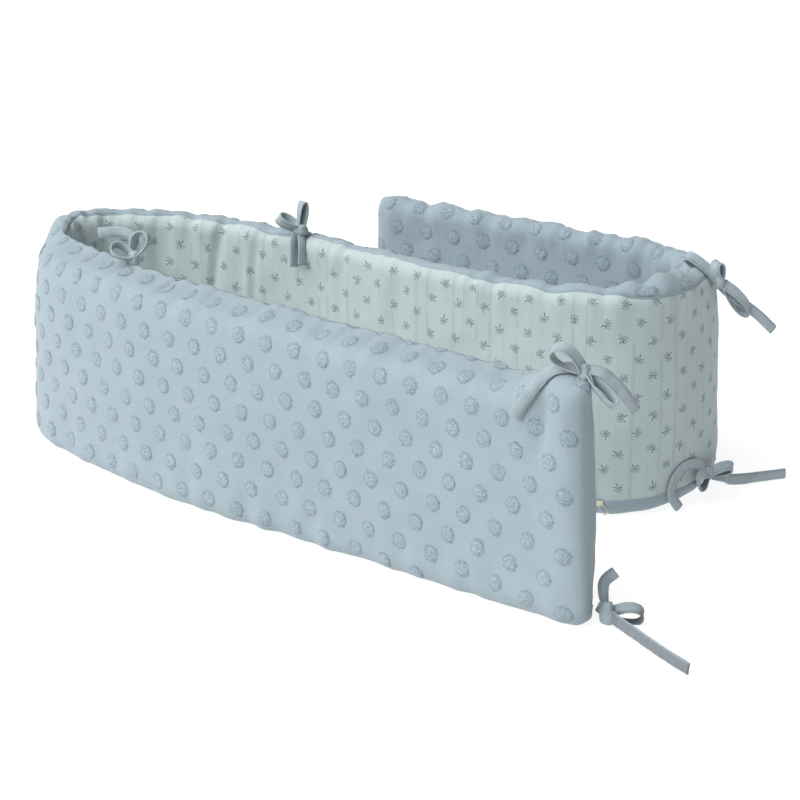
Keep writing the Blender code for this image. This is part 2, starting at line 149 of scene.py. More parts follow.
class Recipe:
    """A material being made up. constants are set on the Principled shader's own sockets."""

    def __init__(self, name, constants):
        self.material = bpy.data.materials.new(name)
        self.material.use_nodes = True
        self.tree = self.material.node_tree
        self.shader = self.tree.nodes["Principled BSDF"]
        for socket, value in constants.items():
            self.shader.inputs[socket].default_value = value

    def node(self, kind, settings, values, output=0):
        """Any other node: its settings first, then its sockets by name or number."""
        made = self.tree.nodes.new(kind)
        for setting, value in settings.items():
            setattr(made, setting, value)
        for socket, value in values.items():
            if isinstance(value, Strand):
                self.tree.links.new(value.socket, made.inputs[socket])
            else:
                made.inputs[socket].default_value = value
        return Strand(self, made.outputs[output])

    def blend(self, share, first, second, how="MIX"):
        """Two colours mixed by a share."""
        settings = {"data_type": "RGBA", "blend_type": how}
        return self.node("ShaderNodeMix", settings, {0: share, 6: first, 7: second}, 2)

    def channel(self, colour, number):
        """A colour's red, green or blue, by number from 0."""
        return self.node("ShaderNodeSeparateColor", {}, {0: colour}, number)

    def object_place(self):
        return self.node("ShaderNodeTexCoord", {}, {}, "Object")

    def cloth_place(self):
        """How far along and across its flat cloth a point is, in metres."""
        place = self.node("ShaderNodeUVMap", {"uv_map": "cloth"}, {})
        along = self.node("ShaderNodeSeparateXYZ", {}, {0: place}, 0)
        across = self.node("ShaderNodeSeparateXYZ", {}, {0: place}, 1)
        return along, across

    def cloud(self, place, grain, detail=2.0, rough=0.5, seed=0.0):
        """Soft noise whose blotches are grain metres across, from 0 to 1."""
        values = {"Vector": place, "W": seed, "Scale": 1.0 / grain, "Detail": detail, "Roughness": rough}
        return self.node("ShaderNodeTexNoise", {"noise_dimensions": "4D"}, values)

    def feed(self, socket, strand):
        self.tree.links.new(strand.socket, self.shader.inputs[socket])

    def relief(self, height, deepest, strength=1.0):
        """Bumps of a height from 0 to 1, deepest metres from bottom to top."""
        values = {"Height": height, "Distance": deepest, "Strength": strength}
        self.feed("Normal", self.node("ShaderNodeBump", {}, values))


paper = Recipe("white paper", {"Base Color": (0.22, 0.22, 0.22, 1.0), "Roughness": 0.9})
paper.shader.inputs["Emission Color"].default_value = (1.0, 1.0, 1.0, 1.0)
paper.shader.inputs["Emission Strength"].default_value = 0.86
floor_mesh = bpy.data.meshes.new("floor")
floor_corners = [(-40, -40, -0.0012), (40, -40, -0.0012), (40, 40, -0.0012), (-40, 40, -0.0012)]
floor_mesh.from_pydata(floor_corners, [], [(0, 1, 2, 3)])
floor_mesh.materials.append(paper.material)
floor = bpy.data.objects.new("floor", floor_mesh)
bpy.context.scene.collection.objects.link(floor)
floor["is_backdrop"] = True

surround = bpy.data.worlds.new("surround")
surround.use_nodes = True
surround.node_tree.nodes["Background"].inputs["Color"].default_value = (0.97, 0.98, 1.0, 1.0)
surround.node_tree.nodes["Background"].inputs["Strength"].default_value = 0.30
bpy.context.scene.world = surround

wide_light = bpy.data.objects.new("wide light", bpy.data.lights.new("wide light", "SUN"))
wide_light.data.energy = 3.90
wide_light.data.angle = math.radians(60.0)
wide_light.rotation_euler = Vector((0.27, 0.58, -0.77)).to_track_quat("-Z", "Y").to_euler()
bpy.context.scene.collection.objects.link(wide_light)
side_light = bpy.data.objects.new("side light", bpy.data.lights.new("side light", "AREA"))
side_light.data.energy = 26.0
side_light.data.size = 2.0
side_light.location = (-2.6, -3.0, 2.4)
side_light.rotation_euler = Vector((2.6, 2.8, -2.2)).to_track_quat("-Z", "Y").to_euler()
bpy.context.scene.collection.objects.link(side_light)

# --- The padded body in its dotted cover ----------------------------------------------------
# A flat strip of polyester filling in a cotton cover cut in one piece: it wraps face A and both
# long edges, and is sewn to the printed panel on face B. The cot's ties gather it at ten places.

HEIGHT = 0.300
FACE_THICKNESS = 0.042
CROWN = 0.003
EDGE_ROUND = 0.021
FOOT_HALF_WIDTH = 0.009
END_DRAW = 0.030
END_THICKNESS_SHARE = 0.30
CORNER_ROUND = 0.016
NEAR_FLARE = 0.009
NEAR_FLARE_LENGTH = 0.060

# Stretches of the centre line from the near end: length, and turn in degrees to the left.
PLAN = [(0.530, 1.3), (0.453, -17.0), (0.091, -113.6), (0.171, -31.5), (0.253, -19.8)]
PLAN += [(0.374, 15.2), (0.136, 74.6), (0.246, 107.0), (0.182, -7.5), (0.240, 1.8)]
BEND_EASE = 0.048
LENGTH = sum(length for length, _ in PLAN)
PLAN_STEP = 0.001
# How the band leans: station, sideways shift for each metre of height.
LEAN = [(0.0, 0.0), (0.3, -0.03), (0.6, -0.04), (0.9, -0.05), (1.8, -0.03), (2.05, 0.04), (LENGTH, 0.0)]
LEAN = np.array(LEAN)

# Folds: station, face (A is 1, B is -1), depth, half width, slant. Then edges drawn in by their
# seam: station, half length, face, from the top, extra. Then edges raised: station, half length,
# at the top, rise.
FOLDS = [
    (0.985, -1, 0.005, 0.008, 0.05),
    (1.020, -1, 0.007, 0.008, -0.04),
    (1.056, -1, 0.006, 0.008, 0.03),
    (1.200, -1, 0.003, 0.010, 0.00),
    (1.262, -1, 0.003, 0.012, 0.20),
    (1.322, -1, 0.002, 0.010, -0.05),
    (2.050, 1, 0.005, 0.009, 0.05),
    (2.115, 1, 0.004, 0.009, -0.06),
    (2.177, 1, 0.007, 0.010, 0.04),
]
DRAWN_IN = [(0.975, 0.100, 1, True, 0.036), (2.090, 0.110, -1, False, 0.010)]
RISES = [
    (0.960, 0.080, True, -0.004),
    (1.960, 0.090, True, 0.005),
    (2.075, 0.090, False, 0.020),
    (2.170, 0.080, True, -0.006),
]

plan_s = np.arange(0.0, LENGTH + PLAN_STEP / 2, PLAN_STEP)
plan_curvature = np.zeros_like(plan_s)
stretch_start = 0.0
for stretch_length, turn in PLAN:
    stretch_end = stretch_start + stretch_length
    begins = 0.5 + 0.5 * np.tanh((plan_s - stretch_start) / BEND_EASE) if stretch_start else 1.0
    ends = 0.5 - 0.5 * np.tanh((plan_s - stretch_end) / BEND_EASE)
    if stretch_end > LENGTH - PLAN_STEP:
        ends = 1.0
    plan_curvature += math.radians(turn) / stretch_length * begins * ends
    stretch_start = stretch_end
plan_heading = math.pi + np.cumsum(plan_curvature) * PLAN_STEP
plan_x = 0.4261 + np.cumsum(np.cos(plan_heading)) * PLAN_STEP
plan_y = -0.2621 + np.cumsum(np.sin(plan_heading)) * PLAN_STEP
FACE_OUT = 0.0225
arc_a = np.cumsum(1 - plan_curvature * FACE_OUT) * PLAN_STEP
arc_b = np.cumsum(1 + plan_curvature * FACE_OUT) * PLAN_STEP


def bump(s, at, half_length):
    """1 at a place, falling as e to the minus squared distance in half lengths."""
    return np.exp(-(((s - at) / half_length) ** 2))


def quarter_round(distance, reach):
    """A quarter circle: 0 at an edge, 1 from reach on."""
    return np.sqrt(1 - np.clip(1 - distance / reach, 0, 1) ** 2)


def half_thickness(s, side, z):
    """From the centre line to a face: half the thickness and a sine crown, times a quarter round
    at the top edge, less the folds; a quarter round on the flat foot below; thinned at the ends."""
    full = FACE_THICKNESS / 2 + CROWN * np.sin(np.pi * z / HEIGHT)
    round_top = EDGE_ROUND + 0 * s
    round_low = EDGE_ROUND + 0 * s
    for at, half_length, drawn_side, top, extra in DRAWN_IN:
        more = extra * bump(s, at, half_length) * (side == drawn_side)
        round_top = round_top + more * top
        round_low = round_low + more * (not top)
    depth = 0 * s
    for at, folded_side, deep, half_width, slant in FOLDS:
        depth = depth + deep * bump(s - slant * (z - HEIGHT / 2), at, half_width) * (side == folded_side)
    foot = FOOT_HALF_WIDTH + (full - FOOT_HALF_WIDTH) * quarter_round(z, round_low)
    upper = full * quarter_round(HEIGHT - z, round_top) - depth * quarter_round(HEIGHT - z, 2 * EDGE_ROUND)
    ends = quarter_round(np.minimum(s, LENGTH - s), END_DRAW)
    return np.where(z < round_low, foot, upper) * (END_THICKNESS_SHARE + (1 - END_THICKNESS_SHARE) * ends)


def band_place(s, side, z, share=1.0):
    """Centre line at s, plus share of the half thickness to one side, plus the lean; the height
    drawn in by a quarter round at the end corners, flared at the near end, and raised in places."""
    s, side, z, share = np.broadcast_arrays(s, side, z, share)
    heading = np.interp(s, plan_s, plan_heading)
    offset = side * half_thickness(s, side, z) * share + np.interp(s, *LEAN.T) * (z - HEIGHT / 2)
    flare = NEAR_FLARE * (1 - z / HEIGHT) * np.clip(1 - s / NEAR_FLARE_LENGTH, 0, 1)
    x = np.interp(s, plan_s, plan_x) - np.sin(heading) * offset - np.cos(heading) * flare
    y = np.interp(s, plan_s, plan_y) + np.cos(heading) * offset - np.sin(heading) * flare
    rounded = CORNER_ROUND * (1 - quarter_round(np.minimum(s, LENGTH - s), CORNER_ROUND))
    up = HEIGHT / 2 + (z - HEIGHT / 2) * (1 - 2 * rounded / HEIGHT)
    for at, half_length, top, rise in RISES:
        near = z / HEIGHT if top else 1 - z / HEIGHT
        up = up + rise * bump(s, at, half_length) * near**2
    return np.stack([x, y, up], axis=-1)


# A place round the band is its distance w from the crest: positive down face A, negative down B.
QUARTER = EDGE_ROUND * math.pi / 2
FACE_FOOT = QUARTER + HEIGHT - 2 * EDGE_ROUND
FOOT_EDGE = FACE_FOOT + QUARTER
FOOT_MIDDLE = FOOT_EDGE + FOOT_HALF_WIDTH
SEAM_LOW, SEAM_HIGH = 0.017, 0.2996
W_SEAM_HIGH = -math.acos(1 - (HEIGHT - SEAM_HIGH) / EDGE_ROUND) * EDGE_ROUND
W_SEAM_LOW = math.acos(1 - SEAM_LOW / EDGE_ROUND) * EDGE_ROUND - FOOT_EDGE
RECESS = 0.0019
PANEL_END = 0.014

# Where the cover is gathered over the upper seam, the seam lies further from the crest: station,
# half length, how much further.
SEAM_DROPS = [(0.975, 0.055, 0.016), (1.985, 0.130, 0.012)]
SEAM_REACH = 0.060

# Where the ties are sewn in: bow, station, and the height on face B that its places are measured from.
TIE_HIGH = 0.283
BOWS = [
    ("near_top", 0.004, TIE_HIGH),
    ("near_low", 0.004, SEAM_LOW),
    ("left_top", 0.800, TIE_HIGH),
    ("left_low", 0.800, SEAM_LOW),
    ("mid_top", 1.425, TIE_HIGH),
    ("mid_low", 1.425, SEAM_LOW),
    ("right_top", 2.085, TIE_HIGH),
    ("right_low", 2.035, SEAM_LOW),
    ("far_top", 2.655, TIE_HIGH),
    ("far_low", 2.655, SEAM_LOW),
]


# The top of the near run is broad: face A leans back over the filling, up to a crest above face B.
# Leans and distances from the crest: the full lean, where it begins and is reached, and where face B
# is straight again.
TOP_LEAN = math.radians(68.0)
LEAN_BEGINS, LEAN_REACHED, LEAN_ENDS_A, LEAN_ENDS_B = 0.068, 0.026, 0.075, 0.050
lean_step = 0.0005
lean_w = np.arange(0.0, LEAN_ENDS_A + lean_step / 2, lean_step)
lean_turn = np.clip((LEAN_BEGINS - lean_w) / (LEAN_BEGINS - LEAN_REACHED), 0, 1)
lean_angle = TOP_LEAN * lean_turn**2 * (3 - 2 * lean_turn)


def plain_top(w):
    """The plain section's offset to face A and height: a quarter circle, then straight down."""
    turn = np.clip(np.abs(w) / EDGE_ROUND, 0, math.pi / 2)
    down = EDGE_ROUND * (1 - np.cos(turn)) + np.clip(np.abs(w) - QUARTER, 0, None)
    return np.sign(w) * EDGE_ROUND * np.sin(turn), HEIGHT - down


plain_out, plain_up = plain_top(lean_w)
lean_out = plain_out[-1] - np.cumsum((np.sin(lean_angle) * lean_step)[::-1])[::-1]
lean_up = plain_up[-1] + np.cumsum((np.cos(lean_angle) * lean_step)[::-1])[::-1] - lean_step
lean_w_b = np.arange(-LEAN_ENDS_B, -lean_step / 2, lean_step)
plain_out_b, plain_up_b = plain_top(lean_w_b)
crest_share = 1 + lean_w_b / LEAN_ENDS_B
lean_bulge = 0.003 * np.sin(np.pi * crest_share)
lean_out_b = plain_out_b[0] + (lean_out[0] - plain_out_b[0]) * crest_share - lean_bulge
lean_up_b = plain_up_b[0] + (lean_up[0] - plain_up_b[0]) * crest_share
LEANED_W = np.concatenate([lean_w_b, lean_w])
LEANED_OUT = np.concatenate([lean_out_b - plain_out_b, lean_out - plain_out])
LEANED_UP = np.concatenate([lean_up_b - plain_up_b, lean_up - plain_up])


def lean_share(s):
    """How much of the lean there is: none at the near end, all on the near run, none past the turn."""
    on = np.clip((s - 0.05) / 0.08, 0, 1)
    off = np.clip((1.06 - s) / 0.14, 0, 1)
    return on**2 * (3 - 2 * on) * off**2 * (3 - 2 * off)


def wrapped_place(s, w):
    """The band's surface by distance from the crest: a quarter circle down from the crest, the
    flat face, a quarter circle in to the foot, and the flat foot; moved by the lean of the top."""
    down = np.abs(w)
    top_turn = np.clip(down / EDGE_ROUND, 0, math.pi / 2)
    low_turn = np.clip((FOOT_EDGE - down) / EDGE_ROUND, 0, math.pi / 2)
    z = np.where(
        down < FACE_FOOT,
        HEIGHT - EDGE_ROUND * (1 - np.cos(top_turn)) - np.clip(down - QUARTER, 0, None),
        EDGE_ROUND * (1 - np.cos(low_turn)),
    )
    share = np.clip((FOOT_MIDDLE - down) / FOOT_HALF_WIDTH, 0, 1)
    heading = np.interp(s, plan_s, plan_heading)
    out = lean_share(s) * np.interp(w, LEANED_W, LEANED_OUT, left=0, right=0)
    up = lean_share(s) * np.interp(w, LEANED_W, LEANED_UP, left=0, right=0)
    leaned = np.stack(np.broadcast_arrays(-np.sin(heading) * out, np.cos(heading) * out, up), axis=-1)
    return band_place(s, np.where(w < 0, -1, 1), z, share) + leaned


def ripples(along, across, shortest, longest, count, seed):
    """The sum of count sine waves over the cloth, of random lengths, headings and phases, divided
    by the square root of count."""
    dice = np.random.default_rng(seed)
    waves = dice.uniform(shortest, longest, count)
    headings = dice.uniform(0, math.pi, count)
    phases = dice.uniform(0, 6.28, count)
    total = 0.0
    for wave, heading, phase in zip(waves, headings, phases):
        run = along * math.cos(heading) + across * math.sin(heading)
        total = total + np.sin(2 * math.pi * run / wave + phase)
    return total / math.sqrt(count)


def upper_seam(s):
    """The upper seam's distance from the crest: a wandering line, further down where gathered."""
    more = np.clip(0.0035 + 0.0040 * ripples(s, 0, 0.080, 0.260, 7, 31), 0, None)
    for at, half_length, drop in SEAM_DROPS:
        more = more + drop * bump(s, at, half_length)
    more = more + 0.006 * lean_share(s)
    return W_SEAM_HIGH - more


def follow_seam(s, w):
    """Moves the grid's lines on face B so that the one at the seam's usual place follows it:
    stretched evenly from the crest to the seam, and from the seam to SEAM_REACH."""
    seam = upper_seam(s)
    below = seam + (w - W_SEAM_HIGH) * (SEAM_REACH + seam) / (SEAM_REACH + W_SEAM_HIGH)
    moved = np.where(w > W_SEAM_HIGH, w * seam / W_SEAM_HIGH, below)
    return np.where((w < 0) & (w > -SEAM_REACH), moved, w)


# Soft creases of face B on the inside of the S: station at mid-height, slant, half width, depth.
CREASES = [(1.103, 0.02, 0.007, 0.0060), (1.190, 0.06, 0.010, 0.0034), (1.268, -0.16, 0.0050, 0.0030)]
CREASES += [(1.339, -0.10, 0.0050, 0.0030), (1.505, 0.05, 0.012, 0.0016), (1.600, -0.06, 0.016, 0.0016)]


# Heights of the cloth's relief, in metres.
SLOW_SWELL, SMALL_SWELL = 0.0012, 0.0004
TOP_WAVE, TOP_WAVE_INSIDE, TOP_DIMPLE, TOP_PUCKER = 0.0018, 0.0020, 0.0024, 0.0008
LOW_WAVE, LOW_WAVE_INSIDE = 0.0013, 0.0012
SEAM_WAVE, SEAM_PUCKER, SEAM_GROOVE = 0.0010, 0.0005, 0.0009
GATHER, PUFF, PUFF_WAVE, PLEAT = 0.0030, 0.0056, 0.0026, 0.0013
END_DENT, END_SWELL, CORNER_LIFT = 0.0062, 0.0034, 0.0085


def cloth_relief(s, w):
    """How far the cloth stands off the plain band: slow swells, waves along both edges, creases,
    puckers and a groove at the two seams of face B, and pleats that spread from each tie."""
    high = SLOW_SWELL * ripples(s, w, 0.12, 0.28, 9, 3) + SMALL_SWELL * ripples(s, w, 0.035, 0.08, 12, 4)
    bend = np.interp(s, plan_s, plan_curvature)
    inside = np.clip(np.where(w < 0, -bend, bend) / 12.0, 0, 1.2)
    edge_top = bump(w, 0.0, 0.045)
    edge_low = bump(np.abs(w), FACE_FOOT, 0.040)
    high = high + (TOP_WAVE + TOP_WAVE_INSIDE * inside) * edge_top * ripples(s, 0.25 * w, 0.030, 0.120, 11, 5)
    high = high - TOP_DIMPLE * edge_top * np.exp(-(ripples(s, 0.1 * w, 0.060, 0.160, 5, 17) / 0.16) ** 2)
    high = high + (LOW_WAVE + LOW_WAVE_INSIDE * inside) * edge_low * ripples(s, 0.25 * w, 0.030, 0.090, 11, 6)
    near_seam = (w < 0) * bump(w, W_SEAM_HIGH, 0.060)
    high = high + SEAM_WAVE * near_seam * ripples(s, 0.12 * w, 0.020, 0.048, 9, 12)
    high = high + TOP_PUCKER * edge_top * ripples(s, 0.15 * w, 0.014, 0.036, 9, 15)
    seam_w = upper_seam(s)
    gathered = inside * (w < 0.004) * bump(w, seam_w, 0.026)
    high = high + GATHER * gathered * ripples(s, 0.3 * w, 0.013, 0.026, 7, 13)
    # The gathered cover puffs up over the outside of the right turn.
    puffed = bump(s, 1.985, 0.115) * bump(w, 0.007, 0.017)
    high = high + puffed * (PUFF + PUFF_WAVE * ripples(s, 0.25 * w, 0.012, 0.040, 9, 14))
    for at, slant, half_width, deep in CREASES:
        off = (s - at - slant * (-w - 0.145)) / half_width
        step = np.exp(-(off**2)) - 0.55 * np.exp(-(((off + 1.9) / 1.3) ** 2))
        high = high - deep * (w < 0) * step * np.clip((-w - 0.004) / 0.020, 0, 1)
    # The end of the near run is dented under its upper tie, and stands out beside the dent.
    high = high - END_DENT * bump(s, 0.053 + 0.10 * (w - 0.06), 0.010) * bump(w, 0.064, 0.036) * (w > 0)
    high = high + END_SWELL * bump(s, 0.024, 0.013) * bump(w, 0.048, 0.024) * (w > 0)
    # The upper tie holds the near corner up.
    high = high + CORNER_LIFT * bump(s, 0.020, 0.034) * bump(w, 0, 0.018)
    for seam, seed in ((seam_w, 7), (W_SEAM_LOW, 8)):
        near = bump(w, seam, 0.011)
        high = high + SEAM_PUCKER * near * ripples(s, 0.2 * w, 0.009, 0.017, 9, seed)
        high = high - SEAM_GROOVE * bump(w, seam, 0.0030)
    for number, (_, station, height) in enumerate(BOWS):
        seam = seam_w if height > HEIGHT / 2 else W_SEAM_LOW
        far = np.hypot(s - station, w - seam)
        angle = np.arctan2(w - seam, s - station)
        pleat = np.cos(9 * angle + number) * far / (far + 0.010) - 0.5
        high = high + PLEAT * pleat * np.exp(-far / 0.020)
    return high


def covered_place(s, w, lift=0.0):
    """The plain band's surface moved out along its normal by the cloth's relief and a lift. The
    normal is the cross product of small steps along and round the band."""
    s, w = np.broadcast_arrays(np.asarray(s, float), np.asarray(w, float))
    step = 0.0004
    forth = wrapped_place(np.minimum(s + step, LENGTH), w) - wrapped_place(np.maximum(s - step, 0), w)
    round_it = wrapped_place(s, w + step) - wrapped_place(s, w - step)
    normal = np.cross(forth, round_it)
    normal /= np.maximum(np.linalg.norm(normal, axis=-1, keepdims=True), 1e-12)
    return wrapped_place(s, w) + normal * (cloth_relief(s, w) + lift)[..., None]


def sewn_piece(name, places, faces, cloth_uv, finish):
    """Puts a surface worked out as arrays into a smooth mesh object. cloth_uv has a place on the
    flat cloth, in metres, for every corner of every face."""
    mesh = bpy.data.meshes.new(name)
    mesh.from_pydata(places.tolist(), [], faces.tolist())
    mesh.uv_layers.new(name="cloth").data.foreach_set("uv", np.ascontiguousarray(cloth_uv, float).ravel())
    mesh.polygons.foreach_set("use_smooth", np.ones(len(faces), bool))
    mesh.materials.append(finish)
    mesh.validate()
    mesh.update()
    piece = bpy.data.objects.new(name, mesh)
    bpy.context.scene.collection.objects.link(piece)
    return piece


def grid_faces(rows, columns, closed=False):
    """Four corner numbers for each cell of a grid numbered row by row, joined round if closed."""
    number = np.arange(rows * columns).reshape(rows, columns)
    if closed:
        number = np.hstack([number, number[:, :1]])
    return np.stack([number[:-1, :-1], number[1:, :-1], number[1:, 1:], number[:-1, 1:]], -1).reshape(-1, 4)


def corner_uv(along, across):
    """The cloth place of the four corners of each cell of a grid of places."""
    place = np.stack(np.broadcast_arrays(along, across), -1)
    return np.stack([place[:-1, :-1], place[1:, :-1], place[1:, 1:], place[:-1, 1:]], -2).reshape(-1, 4, 2)


# Cotton: fine plain weave, a little cloudy, with a dull sheen.
cotton_looks = {"Roughness": 0.88, "Sheen Weight": 0.25, "Sheen Roughness": 0.5, "Specular IOR Level": 0.25}
cotton = Recipe("blue cotton", cotton_looks)
place = cotton.object_place()
along, across = cotton.cloth_place()
cloudy = cotton.cloud(place, 0.050, 3.0)
slubs = cotton.cloud(place, 0.0035, 2.0, seed=2.0)
weave = (along * (2 * math.pi / 0.0012)).sin() * (across * (2 * math.pi / 0.0012)).sin()
shade = cloudy * 0.55 + slubs * 0.45
COTTON_DARK, COTTON_LIGHT = (0.259, 0.328, 0.366, 1.0), (0.281, 0.350, 0.388, 1.0)
cotton.feed("Base Color", cotton.blend(shade.fade(0.30, 0.70), COTTON_DARK, COTTON_LIGHT))
cotton.relief(weave * 0.12 + slubs * 0.6 + cloudy * 0.3, 0.0007, 0.8)

END_MARGIN, BAND_STEPS, FACE_STEPS, PANEL_STEPS = 0.030, 546, 56, 62
LIP = 0.0016
round_steps = np.radians(np.linspace(0, 90, 9))[1:-1] * EDGE_ROUND
half_ring = np.concatenate([
    [0.0],
    round_steps,
    np.linspace(QUARTER, FACE_FOOT, FACE_STEPS),
    FACE_FOOT + round_steps,
    [FOOT_EDGE, FOOT_EDGE + FOOT_HALF_WIDTH / 2],
])
lips = np.array([-W_SEAM_HIGH - 0.0012, -W_SEAM_HIGH + 0.0004, -W_SEAM_LOW - 0.0004, -W_SEAM_LOW + 0.0012])
half_ring = np.sort(np.concatenate([half_ring, lips]))
ring_w = np.concatenate([half_ring, [FOOT_MIDDLE], -half_ring[:0:-1]])
end_steps = np.array([0.0, 0.001, 0.003, 0.006, 0.010, 0.0125, 0.0140, 0.0165, 0.020, 0.025])
middle_steps = np.linspace(END_MARGIN, LENGTH - END_MARGIN, BAND_STEPS)
cover_s = np.concatenate([end_steps, middle_steps, LENGTH - end_steps[::-1]])


def under_panel(s, w):
    """1 where the printed panel lies on the filling, 0 under the cover, an even slope between."""
    inside = np.clip((upper_seam(s) - w) / LIP, 0, 1) * np.clip((w - W_SEAM_LOW) / LIP, 0, 1)
    return inside * np.clip((np.minimum(s, LENGTH - s) - PANEL_END + 0.0015) / 0.0015, 0, 1)


cover_grid_s, cover_grid_w = np.meshgrid(cover_s, ring_w, indexing="ij")
cover_grid_w = follow_seam(cover_grid_s, cover_grid_w)
cover_rows = covered_place(cover_grid_s, cover_grid_w, -RECESS * under_panel(cover_grid_s, cover_grid_w))
cover_rows[..., 2] = np.maximum(cover_rows[..., 2], 0.0)
across_ring = (-np.arange(len(ring_w))) % len(ring_w)
for row, way in ((0, -1.0), (-1, 1.0)):
    heading = plan_heading[row]
    middle = (cover_rows[row] + cover_rows[row][across_ring]) / 2
    middle += way * 0.0010 * np.array([math.cos(heading), math.sin(heading), 0.0])
    cap = (cover_rows[row] * 0.45 + middle * 0.55)[None]
    end_rings = [middle[None], cap, cover_rows] if row == 0 else [cover_rows, cap, middle[None]]
    cover_rows = np.concatenate(end_rings)
rows, around = cover_rows.shape[:2]
cover_faces = grid_faces(rows, around, closed=True)
# The first and last rings are lines, whose two sides share their points.
number = np.arange(rows * around).reshape(rows, around)
shared = number.copy()
shared[0] = np.minimum(number[0], number[0][across_ring])
shared[-1] = np.minimum(number[-1], number[-1][across_ring])
cover_faces = shared.ravel()[cover_faces]
second_half = 2 * FOOT_MIDDLE + ring_w[len(half_ring) + 1 :]
ring_long = np.concatenate([ring_w[: len(half_ring) + 1], second_half, [2 * FOOT_MIDDLE]])
padded_s = np.concatenate([[-0.004, -0.002], cover_s, [LENGTH + 0.002, LENGTH + 0.004]])
cover_uv = corner_uv(padded_s[:, None], ring_long[None, :])
used, renumbered = np.unique(cover_faces, return_inverse=True)
cover_places = cover_rows.reshape(-1, 3)[used]
cover_faces = renumbered.reshape(cover_faces.shape)
dotted_cover = sewn_piece("dotted_cover", cover_places, cover_faces, cover_uv, cotton.material)
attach(dotted_cover, "root")
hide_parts("pad")

# --- The tufted dots of the cover -----------------------------------------------------------
# Round patches of short looped yarn, stitched through the cotton before it was cut, in rows that
# are set half a step apart. They run over both long edges.

SEGMENTS = 14
DOT_RADIUS = 0.0100
RING_REACH = np.array([1.25, 1.02, 0.78, 0.40])
RING_RISE = np.array([0.0001, 0.0002, 0.0009, 0.0012])
PILE_UNEVEN = 0.00024
RING_UNEVEN = np.array([0, 0.5, 1, 1])

lattice_row, lattice_step = np.meshgrid(np.arange(-3, 10), np.arange(-49, 9), indexing="ij")
lattice_s = (lattice_step + 0.5 * (lattice_row % 2)).ravel()
lattice_j = lattice_row.ravel().astype(float)
# The rows slant and spread a little towards the near end, so a dot's distance along the band and
# its height are low polynomials of its step and its row. They were fitted to the dots' places in
# the photograph, and hold between steps -13 and 8; further on the rows keep their last height.
FIRST_DOT, DOT_STEP = 0.3494, 0.04755
ROW_SHIFT, ROW_SHIFT_CHANGE, ROW_BOW = 0.004284, 0.000256, 0.000289
TOP_ROW = (0.2496, 0.001151, 0.000077, 0.000005)
ROW_STEP = (0.033301, 0.000163, 0.000038, 0.000002)
DOT_JITTER = 0.0006
c = np.clip(lattice_s, -13, 8)
dot_arc = FIRST_DOT - DOT_STEP * lattice_s + (ROW_SHIFT - ROW_SHIFT_CHANGE * c) * lattice_j
dot_arc = dot_arc - ROW_BOW * lattice_j**2
dot_rise = TOP_ROW[0] - TOP_ROW[1] * c - TOP_ROW[2] * c**2 - TOP_ROW[3] * c**3
row_step = ROW_STEP[0] + ROW_STEP[1] * c + ROW_STEP[2] * c**2 + ROW_STEP[3] * c**3
dot_rise = dot_rise - row_step * lattice_j
dot_w = QUARTER + HEIGHT - EDGE_ROUND - dot_rise
kept = (dot_arc > 0.010) & (dot_arc < arc_a[-1] - 0.008) & (dot_w > -0.030) & (dot_w < FOOT_EDGE - 0.016)
kept &= dot_w > upper_seam(np.interp(dot_arc, arc_a, plan_s)) - 0.002
dot_arc, dot_w = dot_arc[kept], dot_w[kept]
dice = np.random.default_rng(11)
count = len(dot_arc)
dot_arc = dot_arc + dice.normal(0, DOT_JITTER, count)
dot_w = dot_w + dice.normal(0, DOT_JITTER, count)


def tuft_places(arc, w):
    """Rings of a ragged disc about each dot: radius times an uneven outline, raised by its ring's
    height and an uneven pile, all laid on the cover."""
    turn = 2 * math.pi * (np.arange(SEGMENTS) + dice.uniform(-0.2, 0.2, (count, 1, SEGMENTS))) / SEGMENTS
    size = dice.uniform(0.93, 1.05, (count, 1, 1))
    outline = 1 + dice.normal(0, 0.05, (count, 1, SEGMENTS))
    radius = DOT_RADIUS * size * outline
    reach = radius * RING_REACH[None, :, None] * (1 + dice.normal(0, 0.02, (count, 4, SEGMENTS)))
    uneven = dice.normal(0, PILE_UNEVEN, (count, 4, SEGMENTS)) * RING_UNEVEN[None, :, None]
    rise = RING_RISE[None, :, None] + uneven
    around_arc = arc[:, None, None] + reach * np.cos(turn)
    around_w = w[:, None, None] + reach * 1.04 * np.sin(turn)
    places = np.concatenate([around_arc.reshape(count, -1), arc[:, None]], 1)
    widths = np.concatenate([around_w.reshape(count, -1), w[:, None]], 1)
    lifts = np.concatenate([rise.reshape(count, -1), np.full((count, 1), 0.0012)], 1)
    return places, widths, lifts


tuft_arc, tuft_w, tuft_lift = tuft_places(dot_arc, dot_w)
tuft_s = np.clip(np.interp(tuft_arc, arc_a, plan_s), 0.001, LENGTH - 0.001)
tuft_w = np.maximum(tuft_w, upper_seam(tuft_s) + 0.0015)
each = tuft_arc.shape[1]
rings = np.arange(4 * SEGMENTS).reshape(4, SEGMENTS)
following = np.roll(rings, -1, axis=1)
one_tuft = np.stack([rings[:-1], following[:-1], following[1:], rings[1:]], -1).reshape(-1, 4)
centre_fan = np.stack([rings[3], following[3], np.full(SEGMENTS, 4 * SEGMENTS), np.full(SEGMENTS, -1)], -1)
tuft_points = covered_place(tuft_s, tuft_w, tuft_lift).reshape(-1, 3)
starts = (np.arange(count) * each)[:, None, None]
tuft_quads = (one_tuft[None] + starts).reshape(-1, 4)
tuft_fans = (centre_fan[None, :, :3] + starts).reshape(-1, 3)

